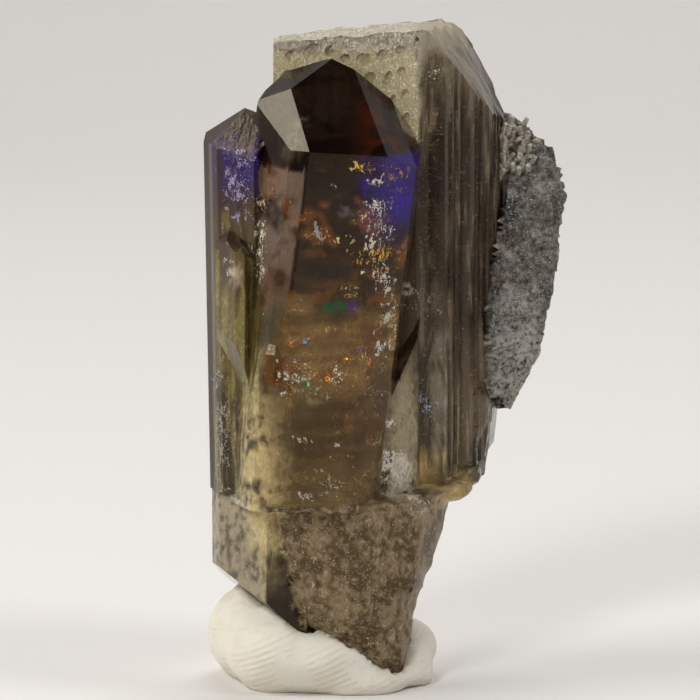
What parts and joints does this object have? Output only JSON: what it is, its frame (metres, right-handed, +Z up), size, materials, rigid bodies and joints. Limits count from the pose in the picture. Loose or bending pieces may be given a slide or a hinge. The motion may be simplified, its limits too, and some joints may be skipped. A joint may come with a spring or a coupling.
{
  "type": "tanzanite crystal",
  "caption": "Upright cluster of intergrown prismatic tanzanite crystals with a patch of graphite rock, standing in a flat-footed lump of white putty.",
  "frame": {"origin": "centre of the putty's flat foot, on the surface that the specimen stands on", "axes": "+Z up, along the crystals; +X to the right and +Y away from the viewer, seen from the side with the dark pointed crystal in front"},
  "size_m": [0.031, 0.0211, 0.056],
  "materials": {
    "tanzanite": "see-through brown to violet crystal with glossy faces, striated sides and a frosted root",
    "graphite_rock": "rough dark grey rock with small bright graphite flakes",
    "white_putty": "matte cream-white putty with finger marks"
  },
  "bodies": {
    "root": {"crystal_cluster": "tanzanite", "graphite_matrix": "graphite_rock", "putty_base": "white_putty"}
  },
  "joints": []
}
